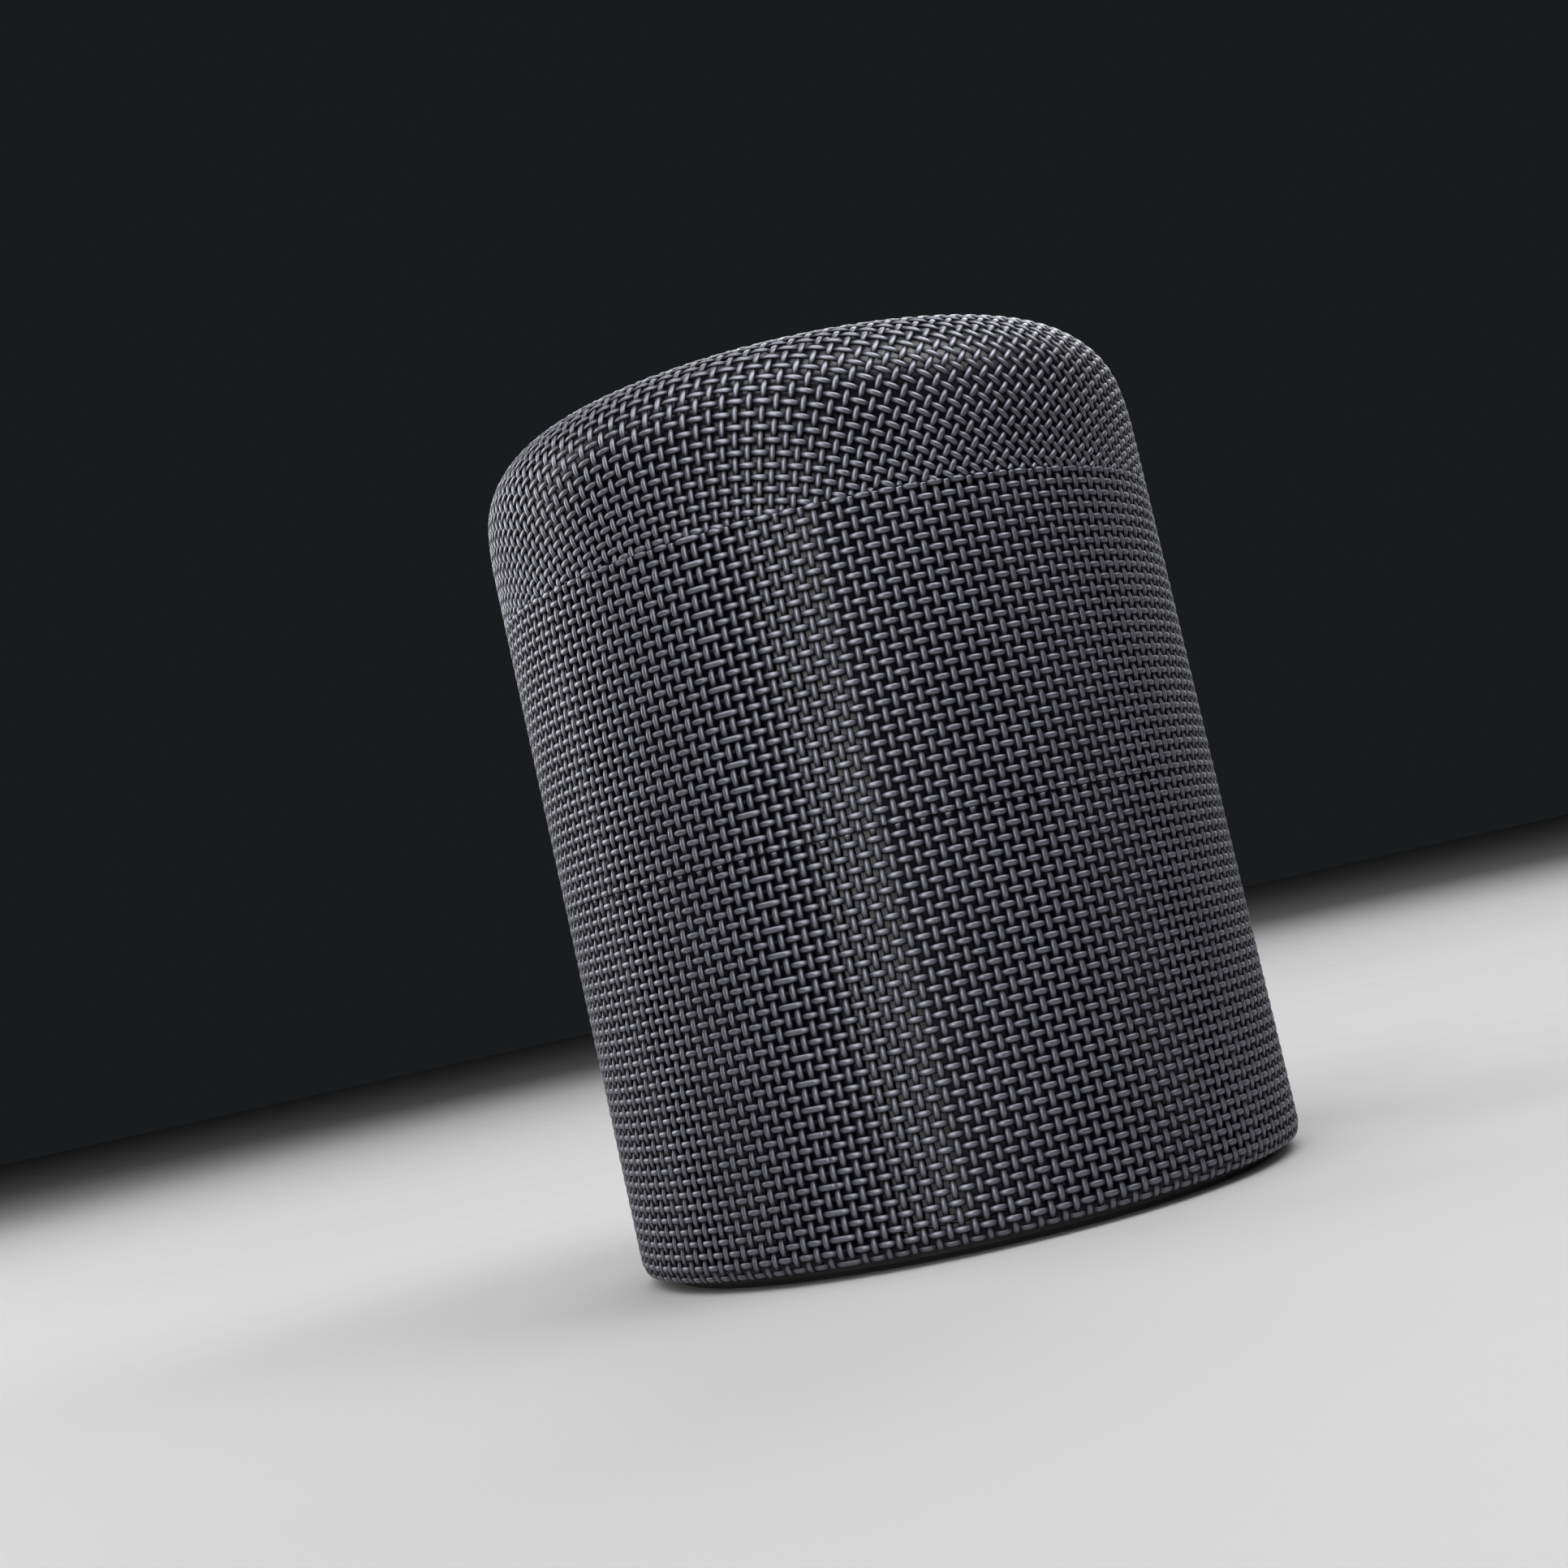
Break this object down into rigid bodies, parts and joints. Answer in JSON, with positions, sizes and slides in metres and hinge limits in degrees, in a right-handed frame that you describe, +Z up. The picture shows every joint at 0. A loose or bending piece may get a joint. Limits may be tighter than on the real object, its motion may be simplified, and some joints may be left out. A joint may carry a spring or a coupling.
{
  "type": "portable bluetooth speaker",
  "caption": "Upright cylindrical battery speaker with a domed top, covered all over in open woven mesh over a glossy dark liner, with keys on the crown.",
  "frame": {"origin": "on the surface it stands on, under the centre of the foot ring", "axes": "+Z up along the cylinder, -Y out of the front, +Y out of the charging port"},
  "size_m": [0.1, 0.1, 0.1308],
  "materials": {
    "mesh": "satin grey coat over woven wire",
    "liner": "glossy near-black membrane",
    "black_plastic": "fine matt",
    "base_plastic": "fine spark-eroded texture",
    "foot_rubber": "matt rubber",
    "screw_steel": "dark zinc",
    "housing_plastic": "moulded",
    "basket_metal": "black powder coat",
    "magnet_steel": "dark ferrite and zinc plates",
    "roll_rubber": "smooth",
    "cone_paper": "coated pulp",
    "coil_brass": "enamelled winding",
    "cell_sleeve": "shrink sleeve",
    "board": "solder mask",
    "heat_sink": "extruded",
    "tin_shield": "tinned",
    "socket_metal": "stamped",
    "lead_sleeve": "smooth",
    "pad_plastic": "soft-touch",
    "bezel_metal": "anodised grey",
    "switch_metal": "tinned",
    "key_rubber": "soft-touch",
    "light_pipe": "frosted clear",
    "cover_rubber": "soft-touch",
    "diaphragm_metal": "weighted plate"
  },
  "bodies": {
    "housing": {"amplifier_heat_sink": "heat_sink", "baffle": "housing_plastic", "base_plate": "base_plastic", "base_screws": "screw_steel", "base_trim_ring": "black_plastic", "battery_cells": "cell_sleeve", "battery_lead": "lead_sleeve", "battery_tray": "housing_plastic", "board_screws": "screw_steel", "cap_frame": "housing_plastic", "cap_mesh": "mesh", "cap_ring": "black_plastic", "control_cup": "housing_plastic", "control_pad": "pad_plastic", "driver_basket": "basket_metal", "driver_lead": "lead_sleeve", "driver_magnet": "magnet_steel", "driver_screws": "screw_steel", "driver_surround": "roll_rubber", "foot_ring": "foot_rubber", "housing_tube": "housing_plastic", "key_board": "board", "key_ribbon": "lead_sleeve", "key_switches": "switch_metal", "left_radiator_frame": "housing_plastic", "left_radiator_surround": "roll_rubber", "liner_dome": "liner", "liner_sleeve": "liner", "main_board": "board", "pad_bezel": "bezel_metal", "port_bezel": "black_plastic", "radio_module_shield": "tin_shield", "right_radiator_frame": "housing_plastic", "right_radiator_surround": "roll_rubber", "side_mesh_lower": "mesh", "side_mesh_upper": "mesh", "sound_deflector": "housing_plastic", "split_ring": "black_plastic", "status_light": "light_pipe", "usb_socket": "socket_metal"},
    "driver_cone_unit": {"driver_cone": "cone_paper", "driver_voice_coil": "coil_brass", "driver_dust_cap": "cone_paper"},
    "left_radiator_diaphragm": {"left_radiator_diaphragm": "diaphragm_metal"},
    "right_radiator_diaphragm": {"right_radiator_diaphragm": "diaphragm_metal"},
    "port_cover": {"port_cover": "cover_rubber"},
    "play_key": {"play_key": "key_rubber"},
    "volume_up_key": {"volume_up_key": "key_rubber"},
    "volume_down_key": {"volume_down_key": "key_rubber"},
    "power_key": {"power_key": "key_rubber"},
    "pairing_key": {"pairing_key": "key_rubber"}
  },
  "joints": [
    {"name": "driver_cone_slide", "type": "slide", "parent": "housing", "child": "driver_cone_unit", "axis": [0, 0, 1], "range_m": [-0.002, 0.002], "stiffness_N_per_m": 1200},
    {"name": "left_radiator_slide", "type": "slide", "parent": "housing", "child": "left_radiator_diaphragm", "axis": [-1, 0, 0], "range_m": [-0.002, 0.002], "stiffness_N_per_m": 900},
    {"name": "right_radiator_slide", "type": "slide", "parent": "housing", "child": "right_radiator_diaphragm", "axis": [1, 0, 0], "range_m": [-0.002, 0.002], "stiffness_N_per_m": 900},
    {"name": "port_cover_hinge", "type": "hinge", "parent": "housing", "child": "port_cover", "pos_m": [0, 0.0497, 0.0119], "axis": [-1, 0, 0], "range_deg": [0, 110]},
    {"name": "play_key_press", "type": "slide", "parent": "housing", "child": "play_key", "axis": [0, 0, -1], "range_m": [0, 0.0005], "stiffness_N_per_m": 4000},
    {"name": "volume_up_key_press", "type": "slide", "parent": "housing", "child": "volume_up_key", "axis": [0, 0, -1], "range_m": [0, 0.0005], "stiffness_N_per_m": 4000},
    {"name": "volume_down_key_press", "type": "slide", "parent": "housing", "child": "volume_down_key", "axis": [0, 0, -1], "range_m": [0, 0.0005], "stiffness_N_per_m": 4000},
    {"name": "power_key_press", "type": "slide", "parent": "housing", "child": "power_key", "axis": [0, 0, -1], "range_m": [0, 0.0005], "stiffness_N_per_m": 4000},
    {"name": "pairing_key_press", "type": "slide", "parent": "housing", "child": "pairing_key", "axis": [0, 0, -1], "range_m": [0, 0.0005], "stiffness_N_per_m": 4000}
  ]
}
